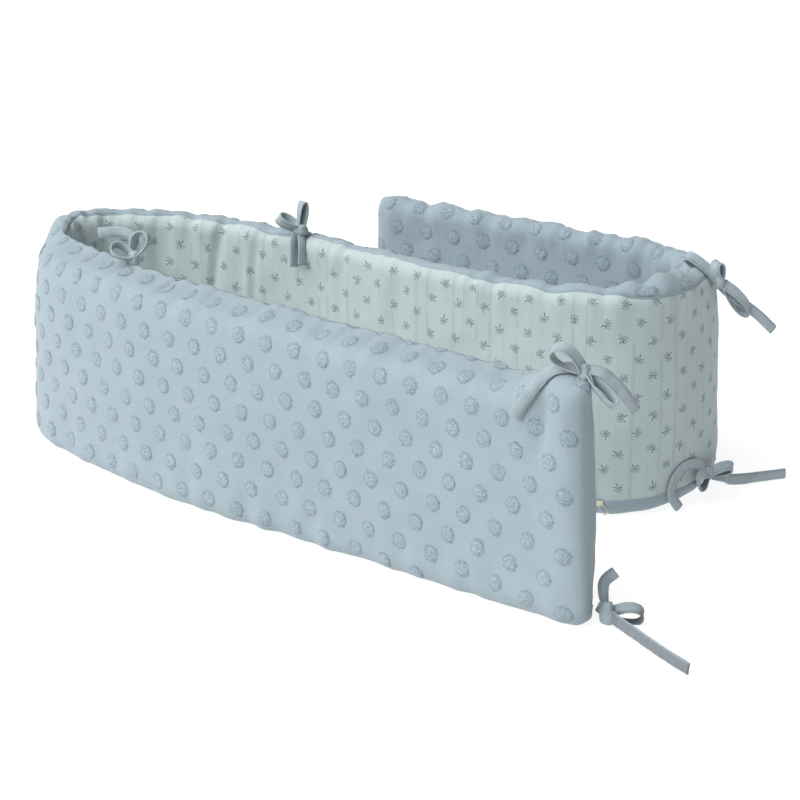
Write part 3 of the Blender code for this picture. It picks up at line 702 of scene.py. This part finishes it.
# Looped yarn: the cotton's colour, broken into small bright loops and the dark gaps between them, as painted
# light on the loops and painted shade in the gaps.
yarn = Recipe("looped yarn", {"Roughness": 0.95, "Sheen Weight": 0.3, "Specular IOR Level": 0.15})
place = yarn.object_place()
loops = yarn.cloud(place, 0.0018, 1.5, 0.6)
fine = yarn.cloud(place, 0.0010, 1.0, seed=5.0)
pile = loops * 0.7 + fine * 0.3
YARN_GAP_PAINTED_SHADE, YARN_LOOP_PAINTED_LIGHT = (0.142, 0.200, 0.236, 1.0), (0.356, 0.438, 0.482, 1.0)
yarn.feed("Base Color", yarn.blend(pile.fade(0.32, 0.68), YARN_GAP_PAINTED_SHADE, YARN_LOOP_PAINTED_LIGHT))
yarn.relief(pile, 0.0015, 1.0)
# Past its radius a dot thins out into single loops.
local_x, local_y = yarn.cloth_place()
from_middle = (local_x * local_x + local_y * local_y) ** 0.5
yarn.feed("Alpha", (from_middle + (loops - 0.5) * 0.014).fade(DOT_RADIUS + 0.0003, DOT_RADIUS - 0.0002))

mesh = bpy.data.meshes.new("cover_tufts")
mesh.from_pydata(tuft_points.tolist(), [], tuft_quads.tolist() + tuft_fans.tolist())
tuft_uv = np.stack([tuft_arc - dot_arc[:, None], tuft_w - dot_w[:, None]], -1).reshape(-1, 2)
corners = np.concatenate([tuft_quads.ravel(), tuft_fans.ravel()])
mesh.uv_layers.new(name="cloth").data.foreach_set("uv", tuft_uv[corners].ravel())
mesh.polygons.foreach_set("use_smooth", np.ones(len(mesh.polygons), bool))
mesh.materials.append(yarn.material)
mesh.update()
cover_tufts = bpy.data.objects.new("cover_tufts", mesh)
bpy.context.scene.collection.objects.link(cover_tufts)
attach(cover_tufts, "root")

# --- The printed panel ----------------------------------------------------------------------
# A strip of soft printed muslin on face B, sewn into the cover along both long edges and turned
# under at the ends. Vertical threads stand out in the weave, and small seed heads are printed on it.

PRINT_STEP = 0.0426
PRINT_ROW = 0.0247
PRINT_FIRST = 1.8040
PRINT_TOP = 0.2593
PANEL_THICKNESS = 0.0011

muslin = Recipe("printed muslin", {"Roughness": 0.85, "Sheen Weight": 0.2, "Specular IOR Level": 0.25})
along, up = muslin.cloth_place()
place = muslin.object_place()
row = round((PRINT_TOP - up) / PRINT_ROW)
shifted = (along - PRINT_FIRST) / PRINT_STEP - (row % 2.0) * 0.5
column = round(shifted)
cell = muslin.node("ShaderNodeCombineXYZ", {}, {0: column, 1: row})
chance = muslin.node("ShaderNodeTexWhiteNoise", {"noise_dimensions": "3D"}, {"Vector": cell}, "Color")
chance_x = muslin.channel(chance, 0)
chance_y = muslin.channel(chance, 1)
chance_turn = muslin.channel(chance, 2)
aside = (shifted - column) * PRINT_STEP + (chance_x - 0.5) * 0.006
above = up - (PRINT_TOP - row * PRINT_ROW) + (chance_y - 0.5) * 0.005
outwards = (aside * aside + above * above) ** 0.5
turned = above.math("ARCTAN2", above, aside) + chance_turn * 6.2832
turned = turned.math("WRAP", turned, math.pi, -math.pi)
RAY_TURN = math.radians(36.0)
ray = round(turned / RAY_TURN)
off_ray = turned - ray * RAY_TURN
ray_cell = muslin.node("ShaderNodeCombineXYZ", {}, {0: column, 1: row, 2: ray})
ray_chance = muslin.node("ShaderNodeTexWhiteNoise", {"noise_dimensions": "3D"}, {"Vector": ray_cell}, 0)
ray_length = ray_chance * 0.0026 + 0.0046
stem_lean = (chance_x - 0.5) * 0.9
stem_length = chance_y * 0.0022 + 0.0062
in_fan = abs(ray) < 3.5
beside = outwards * abs(off_ray.sin())
forwards = outwards * off_ray.cos()
rays = beside.fade(0.00056, 0.00028) * (outwards < ray_length) * in_fan
rays = rays * (outwards.fade(0.0004, 0.0022) * 0.45 + 0.50)
tip = ((forwards - ray_length) ** 2.0 + beside * beside) ** 0.5
dots = tip.fade(0.00092, 0.00056) * in_fan
stem_beside = outwards * abs((turned - stem_lean).sin())
stem = stem_beside.fade(0.00080, 0.00050) * (abs(turned) > 2.0) * (outwards < stem_length)
twin_beside = outwards * abs((turned - stem_lean - 0.80).sin())
twin = twin_beside.fade(0.00074, 0.00044) * (abs(turned) > 2.0) * (outwards < 0.0052) * (chance_turn > 0.35)
stem = stem.or_more(twin) * (outwards > 0.0016)
ink = rays.or_more(dots).or_more(stem)
ink = ink * muslin.cloud(place, 0.0011, 1.0, seed=3.0).fade(0.15, 0.50)

THREAD_STEP = 0.0196
thread = round(along / THREAD_STEP)
thread_chance = muslin.node("ShaderNodeTexWhiteNoise", {"noise_dimensions": "1D"}, {"W": thread}, "Color")
thread_shift = muslin.channel(thread_chance, 0)
thread_cross = muslin.channel(thread_chance, 1)
thread_strength = muslin.channel(thread_chance, 2)
wander = muslin.cloud(place, 0.060, 1.0, seed=9.0) * 0.0016
from_thread = abs(along - thread * THREAD_STEP + (thread_shift - 0.5) * 0.007 + wander)
broken = muslin.cloud(place, 0.030, 2.0, seed=6.0).fade(0.36, 0.52)
lines = from_thread.fade(0.00070, 0.00030) * (thread_strength * 0.7 + 0.3) * broken
second = abs(from_thread - 0.0021).fade(0.00055, 0.00020) * (thread_strength > 0.62) * 0.6
crossing = abs(up - thread_cross * 0.24 - 0.03).fade(0.00060, 0.00020) * 0.45
drawn = lines.or_more(second * broken).or_more(crossing)

flat_cloth = muslin.node("ShaderNodeUVMap", {"uv_map": "cloth"}, {})
long_grain = muslin.node("ShaderNodeMapping", {}, {"Vector": flat_cloth, "Scale": (1.0, 0.09, 1.0)})
warp = muslin.cloud(long_grain, 0.0016, 2.0, seed=1.0)
cloudy = muslin.cloud(place, 0.060, 2.0, seed=4.0)
MUSLIN_DARK, MUSLIN_LIGHT = (0.395, 0.470, 0.474, 1.0), (0.424, 0.498, 0.500, 1.0)
THREAD_SHADE, INK = (0.17, 0.22, 0.23, 1.0), (0.065, 0.100, 0.108, 1.0)
ground = muslin.blend((warp * 0.5 + cloudy * 0.5).fade(0.30, 0.70), MUSLIN_DARK, MUSLIN_LIGHT)
ground = muslin.blend(drawn * 0.42, ground, THREAD_SHADE)
muslin.feed("Base Color", muslin.blend(ink, ground, INK))
muslin.relief(warp * 0.35 + cloudy * 0.15 - drawn * 0.30, 0.0008, 0.8)

panel_s = np.concatenate([[PANEL_END, 0.0165, 0.020, 0.025], middle_steps])
panel_s = np.concatenate([panel_s, LENGTH - panel_s[3::-1]])
panel_w = np.linspace(W_SEAM_HIGH - 0.0003, W_SEAM_LOW + 0.0003, PANEL_STEPS)
panel_grid_s, panel_grid_w = np.meshgrid(panel_s, panel_w, indexing="ij")
panel_grid_w = follow_seam(panel_grid_s, panel_grid_w)
panel_places = covered_place(panel_grid_s, panel_grid_w, 0.0003 - RECESS)
panel_up = QUARTER + HEIGHT - EDGE_ROUND + panel_grid_w
panel_faces = grid_faces(len(panel_s), len(panel_w))[:, ::-1]
panel_uv = corner_uv(np.interp(panel_s, plan_s, arc_b)[:, None], panel_up)[:, ::-1]
panel_places = panel_places.reshape(-1, 3)
printed_panel = sewn_piece("printed_panel", panel_places, panel_faces, panel_uv, muslin.material)
sheet = printed_panel.modifiers.new("cloth", "SOLIDIFY")
sheet.thickness = PANEL_THICKNESS
sheet.offset = -1.0
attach(printed_panel, "root")
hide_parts("print_panel")

# --- The ties -------------------------------------------------------------------------------
# Ten lengths of cotton tape, folded and topstitched along one edge, 15 mm wide. Each is caught in
# a seam of face B and tied in a bow, and its loose ends hang or lie on the floor.

TAPE_WIDTH = 0.015
TAPE_THICKNESS = 0.0028
TAPE_LIFT = 0.0030
LOOP_TWIST = math.radians(24.0)
# A strap that goes this far below the start of its tie, in millimetres, lies on the cover.
LOW_STRAP = -12
FLOOR_GAP_TAPE, FLOOR_GAP_KNOT = 0.0016, 0.0008

# Each bow's knot: its centre (along the band, out from face B, up) in millimetres from where the
# tie leaves the seam, and its size the same way.
KNOTS = {
    "near_top": ((10, -8, 33), (16, 14, 20)),
    "near_low": ((-14, 6, -9), (18, 15, 31)),
    "left_top": ((-2, 5, 8), (16, 13, 20)),
    "left_low": ((0, 9, 0), (14, 12, 18)),
    "mid_top": ((1, -5, 25), (25, 15, 15)),
    "mid_low": ((0, 9, 0), (14, 12, 18)),
    "right_top": ((-15, 6, 4), (15, 12, 20)),
    "right_low": ((-4, 9, 8), (15, 12, 18)),
    "far_top": ((0, 9, 0), (14, 12, 18)),
    "far_low": ((0, 9, 0), (14, 12, 18)),
}
# Loops: bow, tip, breadth in millimetres, direction across the tape.
LOOPS = [
    ("near_top", (38, -30, 59), 24, (0.30, 0.86, 0.40)),
    ("near_top", (-28, 1, -2), 8, (-0.72, -0.38, 0.58)),
    ("near_low", (-48, 30, -10), 22, (0.50, 0.78, 0.36)),
    ("left_top", (-1, 23, 39), 18, (-0.42, -0.84, 0.34)),
    ("left_top", (19, -15, 21), 15, (-0.60, -0.40, 0.69)),
    ("mid_top", (-24, 9, 40), 13, (0.58, -0.12, 0.80)),
    ("mid_top", (-3, -18, 59), 5, (0.93, 0.34, 0.02)),
    ("right_top", (-14, -38, 36), 10, (0.80, 0.30, 0.55)),
    ("right_top", (-13, 2, 29), 11, (0.60, -0.70, 0.20)),
    ("right_top", (-15, 43, -36), 14, (0.80, -0.10, 0.55)),
    ("right_low", (-29, 7, -1), 16, (0.70, -0.60, 0.30)),
    ("right_low", (17, 31, 14), 10, (0.80, -0.30, 0.50)),
    ("left_low", (30, 17, 2), 13, (0.00, 0.90, 0.40)),
    ("left_low", (-30, 17, 0), 13, (0.00, 0.90, 0.40)),
    ("mid_low", (31, 16, 1), 13, (0.00, 0.90, 0.40)),
    ("mid_low", (-29, 17, 3), 14, (0.00, 0.90, 0.40)),
    ("far_top", (26, 16, -16), 13, (0.00, 0.90, 0.40)),
    ("far_top", (-28, 16, -12), 14, (0.00, 0.90, 0.40)),
    ("far_low", (28, 17, 1), 13, (0.00, 0.90, 0.40)),
    ("far_low", (-30, 16, 3), 13, (0.00, 0.90, 0.40)),
]
# Straps and loose ends: bow, the way the flat side looks at the start and at the end, places passed.
OUT = (0.0, 1.0, 0.0)
TAPES = [
    ("near_top", OUT, OUT, [(0, -8, 16), (3, -9, 24), (8, -8, 31)]),
    (
        "near_top", (-0.4, -0.5, 0.8), (-0.62, -0.72, 0.33),
        [(12, -9, 33), (27, -14, 36), (45, -25, 29), (57, -39, 13), (69, -43, -6), (83, -44, -31)],
    ),
    (
        "near_top", (-0.3, -0.5, 0.8), (-0.3, -0.5, 0.8),
        [(8, -7, 36), (-8, 2, 34), (-22, 11, 20), (-34, 18, 4), (-42, 25, -13)],
    ),
    ("near_low", OUT, OUT, [(0, 5, -2), (-14, 6, -9)]),
    (
        "near_low", (-0.75, 0.1, 0.1), (-0.6, -0.7, 0.35),
        [(-10, 9, -2), (-4, 11, 15), (-3, 15, 27), (-12, 24, 38)],
    ),
    (
        "near_low", (0.35, -0.92, 0.17), (0.35, -0.92, 0.17),
        [(-14, 5, -9), (-37, -6, -8.6), (-84, -26, -8.2), (-131, -46, -8.0), (-181, -64, -8.0)],
    ),
    (
        "left_top", (-0.5, -0.8, 0.1), (-0.5, -0.8, 0.0),
        [(2, 6, 9), (16, 18, 26), (34, 13, 34), (62, -8, 31)],
    ),
    ("left_top", OUT, OUT, [(4, 5, 6), (10, 8, -8), (15, 7, -41), (18, 6, -76)]),
    ("mid_top", (0.85, 0.35, 0.1), (0.85, 0.35, 0.1), [(5, -6, 20), (12, 1, 8), (15, 4, -7), (15, 6, -21)]),
    ("mid_top", (0.85, 0.35, 0.1), (0.85, 0.35, 0.1), [(0, -3, 21), (0, 4, 7), (2, 6, -8), (2, 8, -25)]),
    (
        "right_top", (-0.7, 0.4, 0.5), (-0.7, 0.4, 0.5),
        [(-14, 8, -1), (-12, 25, -17), (-9, 53, -37), (-8, 78, -60)],
    ),
    (
        "right_low", (0.0, 1.0, 0.3), (-0.3, 1.0, 0.0),
        [(-6, 6, 12), (-23, 0, 25), (-43, -6, 26), (-60, -12, 12), (-64, -14, -9), (-58, -5, -27.5)],
    ),
    (
        "right_low", (-0.5, 0.5, 0.6), (-0.6, 0.8, 0.0),
        [(-2, 11, 6), (18, 19, -2), (46, 16, -15), (84, 27, -23.2), (125, 59, -23.2)],
    ),
    ("left_low", OUT, OUT, [(3, 11, -1.5), (18, 16, -7.5), (52, 15, -9.3)]),
    ("left_low", OUT, OUT, [(-3, 10, -3.5), (-18, 17, -8.5), (-48, 15, -9.0)]),
    ("mid_low", OUT, OUT, [(3, 11, -1.4), (18, 17, -8), (50, 16, -9.3)]),
    ("mid_low", OUT, OUT, [(-3, 10, -3.3), (-18, 16, -7.6), (-54, 17, -9.0)]),
    ("far_top", OUT, OUT, [(3, 11, -4), (9, 13, -22), (13, 9, -58)]),
    ("far_top", OUT, OUT, [(-3, 10, -3), (-12, 15, -22), (-18, 8, -64)]),
    ("far_low", OUT, OUT, [(3, 11, -1.2), (16, 18, -7.4), (44, 22, -9.6)]),
    ("far_low", OUT, OUT, [(-3, 10, -3.1), (-18, 16, -8), (-50, 15, -9.3)]),
]

tape_cotton = Recipe("tape cotton", {"Roughness": 0.85, "Sheen Weight": 0.25, "Specular IOR Level": 0.25})
along, across = tape_cotton.cloth_place()
place = tape_cotton.object_place()
cloudy = tape_cotton.cloud(place, 0.012, 2.0)
slubs = tape_cotton.cloud(place, 0.0012, 2.0, seed=2.0)
stitch_row = abs(across - 0.0023).fade(0.0010, 0.0004)
stitch = stitch_row * (abs((along / 0.0030) % 1.0 - 0.5).fade(0.42, 0.26))
# The groove along the stitch row is sunk by the relief, and its colour is darkened by painted shade.
groove_and_painted_shade = abs(across - 0.0023).fade(0.0018, 0.0003)
TAPE_DARK, TAPE_LIGHT = (0.274, 0.336, 0.368, 1.0), (0.334, 0.396, 0.428, 1.0)
GROOVE_PAINTED_SHADE, THREAD, CUT_END_PAINTED_SHADE = (0.12, 0.155, 0.175, 1.0), (0.42, 0.48, 0.51, 1.0), (0.07, 0.10, 0.11, 1.0)
FLOOR_PAINTED_SHADE = (0.48, 0.47, 0.48, 1.0)
tape_colour = tape_cotton.blend((cloudy * 0.6 + slubs * 0.4).fade(0.3, 0.7), TAPE_DARK, TAPE_LIGHT)
tape_colour = tape_cotton.blend(groove_and_painted_shade * 0.65, tape_colour, GROOVE_PAINTED_SHADE)
tape_colour = tape_cotton.blend(stitch * 0.7, tape_colour, THREAD)
# Painted shade: the long loose end on the floor, past the near corner, is tinted darker than the other tape.
from_corner = tape_cotton.node("ShaderNodeSeparateXYZ", {}, {0: place}, 0)
off_floor = tape_cotton.node("ShaderNodeSeparateXYZ", {}, {0: place}, 2)
loose_end_painted_shade = from_corner.fade(0.447, 0.458) * off_floor.fade(0.022, 0.017)
tape_colour = tape_cotton.blend(loose_end_painted_shade, tape_colour, FLOOR_PAINTED_SHADE, "MULTIPLY")
# Painted shade: the last millimetre at each tape's cut end is blended towards near black, for the open end of
# the folded tape.
tape_cotton.feed("Base Color", tape_cotton.blend(along.fade(0.0010, 0.0003) * 0.75, tape_colour, CUT_END_PAINTED_SHADE))
tape_cotton.relief(slubs * 0.30 - groove_and_painted_shade * 0.8 + stitch * 0.5, 0.0009, 1.0)


def seam_axes(station, height):
    """The point of a seam on face B, and the directions along the band, out from the face and up."""
    heading = float(np.interp(station, plan_s, plan_heading))
    start = band_place(np.array(station), np.array(-1), np.array(height))
    along_band = (math.cos(heading), math.sin(heading), 0)
    off_face = (math.sin(heading), -math.cos(heading), 0)
    return start, np.array([along_band, off_face, (0, 0, 1)])


def unit(vectors):
    return vectors / np.maximum(np.linalg.norm(vectors, axis=-1, keepdims=True), 1e-12)


def smooth_line(places, step):
    """A curve through the places (Catmull-Rom): on each span a cubic whose slope at each place is
    half the way from the place before to the place after."""
    ends = np.vstack([2 * places[0] - places[1], places, 2 * places[-1] - places[-2]])
    spans = []
    for a, b, c, d in zip(ends, ends[1:], ends[2:], ends[3:]):
        t = np.linspace(0, 1, max(2, round(np.linalg.norm(c - b) / step)), endpoint=False)[:, None]
        bend = (2 * a - 5 * b + 4 * c - d) * t**2
        turn = (3 * b - a - 3 * c + d) * t**3
        spans.append(b + 0.5 * ((c - a) * t + bend + turn))
    return np.vstack(spans + [places[-1:]])


def loop_line(knot, tip, breadth, edge):
    """A drop-shaped loop: out to the tip and back as a cosine, aside as sine times half sine."""
    turn = np.linspace(0, 2 * math.pi, 33)[:, None]
    reach = tip - knot
    side = unit(np.cross(reach, edge))
    aside = 0.65 * breadth * np.sin(turn) * np.sin(turn / 2) + 0.0013 * np.cos(turn / 2)
    return knot + reach * (0.07 + 0.93 * (1 - np.cos(turn)) / 2) + side * aside


def tape_strip(name, line, wide, seed, lies_on_cover):
    """A flat tape: seven columns across a line, slightly crowned, with a slow uneven wave."""
    columns = np.linspace(-1, 1, 7)
    forward = unit(np.gradient(line, axis=0))
    wide = unit(wide - forward * (wide * forward).sum(-1, keepdims=True))
    flat = np.cross(forward, wide)
    run = np.concatenate([[0], np.cumsum(np.linalg.norm(np.diff(line, axis=0), axis=1))])
    wave = 0.0004 * ripples(run[:, None], columns[None] * 0.02, 0.012, 0.04, 5, seed)
    places = line[:, None] + wide[:, None] * (columns * TAPE_WIDTH / 2)[None, :, None]
    places = places + flat[:, None] * (wave + 0.0011 * columns**2)[..., None]
    places[..., 2] = np.maximum(places[..., 2], FLOOR_GAP_TAPE)
    uv = corner_uv(run[-1] - run[:, None], ((columns + 1) * TAPE_WIDTH / 2)[None])
    piece = sewn_piece(name, places.reshape(-1, 3), grid_faces(len(line), 7), uv, tape_cotton.material)
    if lies_on_cover:
        wrap = piece.modifiers.new("off the cover", "SHRINKWRAP")
        wrap.target = dotted_cover
        wrap.wrap_method = "NEAREST_SURFACEPOINT"
        wrap.wrap_mode = "OUTSIDE"
        wrap.offset = TAPE_LIFT
    body = piece.modifiers.new("folded tape", "SOLIDIFY")
    body.thickness = TAPE_THICKNESS
    body.offset = 0.0
    soft = piece.modifiers.new("soft edges", "SUBSURF")
    soft.levels = soft.render_levels = 1
    return piece, run[-1]


def knot_places(centre, axes, size, seed):
    """A pulled knot: a rounded cushion, its radius varied by two wraps of tape round it."""
    u = np.linspace(0, 2 * math.pi, 29)[:-1, None]
    v = np.linspace(0.0, math.pi, 17)[None, 1:-1]
    ring = lambda c: np.sign(c) * np.abs(c) ** 0.72
    x, y, z = ring(np.cos(u)) * ring(np.sin(v)), ring(np.sin(u)) * ring(np.sin(v)), ring(np.cos(v)) + 0 * u
    wraps = 1 + 0.07 * np.cos(3 * v + 1.2 * np.sin(u + seed)) + 0.03 * np.sin(2 * u + seed)
    body = np.stack([x, y, z], -1) * wraps[..., None] * np.array(size) / 2000
    poles = np.array([(0, 0, 1.0), (0, 0, -1.0)]) * np.array(size) / 2000
    return centre + np.vstack([body.transpose(1, 0, 2).reshape(-1, 3), poles]) @ axes, 28, 15


for number, (bow, station, height) in enumerate(BOWS):
    start, axes = seam_axes(station, height)
    knot_at, knot_size = KNOTS[bow]
    knot = start + np.array(knot_at) / 1000 @ axes
    parts = []
    tape_length = 0.0
    for owner, tip, breadth, edge in LOOPS:
        if owner == bow:
            edge = unit(np.array(edge) @ axes)
            tip_at = start + np.array(tip) / 1000 @ axes
            line = loop_line(knot, tip_at, breadth / 1000, edge)
            twist = LOOP_TWIST * np.cos(np.linspace(0, math.pi, len(line)))[:, None]
            wide = edge * np.cos(twist) + np.cross(unit(tip_at - knot), edge) * np.sin(twist)
            parts.append(tape_strip("loop", line, wide, number, False))
    for owner, looks_first, looks_last, places in TAPES:
        if owner == bow:
            line = smooth_line(start + np.array(places) / 1000 @ axes, 0.004)
            share = np.linspace(0, 1, len(line))[:, None]
            looks = (np.array(looks_first) * (1 - share) + np.array(looks_last) * share) @ axes
            wide = np.cross(unit(np.gradient(line, axis=0)), looks)
            lies_on_cover = min(place[2] for place in places) < LOW_STRAP
            parts.append(tape_strip("strap", line, wide, number + 20, lies_on_cover))
    places, around, levels = knot_places(knot, axes, knot_size, number)
    places[:, 2] = np.maximum(places[:, 2], FLOOR_GAP_KNOT)
    faces = grid_faces(levels, around, closed=True)[:, ::-1]
    knot_uv = np.full((len(faces), 4, 2), 0.010)
    knot_piece = sewn_piece("knot", places, faces, knot_uv, tape_cotton.material)
    build = bmesh.new()
    build.from_mesh(knot_piece.data)
    build.verts.ensure_lookup_table()
    first_ring = range(around)
    last_ring = range((levels - 1) * around, levels * around)
    for pole, ring in ((levels * around, first_ring), (levels * around + 1, last_ring)):
        ring = list(ring)
        for i, j in zip(ring, ring[1:] + ring[:1]):
            build.faces.new((build.verts[i], build.verts[j], build.verts[pole]))
    bmesh.ops.recalc_face_normals(build, faces=build.faces)
    bpy.data.objects.remove(knot_piece)
    bpy.context.view_layer.update()
    graph = bpy.context.evaluated_depsgraph_get()
    for piece, length in parts:
        build.from_mesh(bpy.data.meshes.new_from_object(piece.evaluated_get(graph)))
        bpy.data.objects.remove(piece)
        tape_length += length
    mesh = bpy.data.meshes.new("bow_" + bow)
    build.to_mesh(mesh)
    build.free()
    mesh.polygons.foreach_set("use_smooth", np.ones(len(mesh.polygons), bool))
    mesh.materials.append(tape_cotton.material)
    tie = bpy.data.objects.new("tie_" + bow, mesh)
    bpy.context.scene.collection.objects.link(tie)
    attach(tie, "root")
    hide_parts("bow_" + bow)
    tape_length + 0.060

# --- The zip's slider and pull --------------------------------------------------------------
# A small cream slider of painted metal at the closed end of the zip, in the lower seam of face B,
# with an open wire pull that hangs askew from it.

enamel = Recipe("cream enamel", {"Roughness": 0.35, "Metallic": 0.0, "Coat Weight": 0.3})
place = enamel.object_place()
worn = enamel.cloud(place, 0.0015, 2.0)
CREAM_WORN, CREAM = (0.60, 0.57, 0.46, 1.0), (0.70, 0.67, 0.56, 1.0)
enamel.feed("Base Color", enamel.blend(worn.fade(0.35, 0.70), CREAM_WORN, CREAM))
enamel.relief(worn, 0.0001, 0.5)
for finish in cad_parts["zip_pull"].material_slots:
    finish.material = enamel.material

visual_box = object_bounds()
{"cad": [list(map(float, c)) for c in cad_box], "visual": [list(map(float, c)) for c in visual_box]}
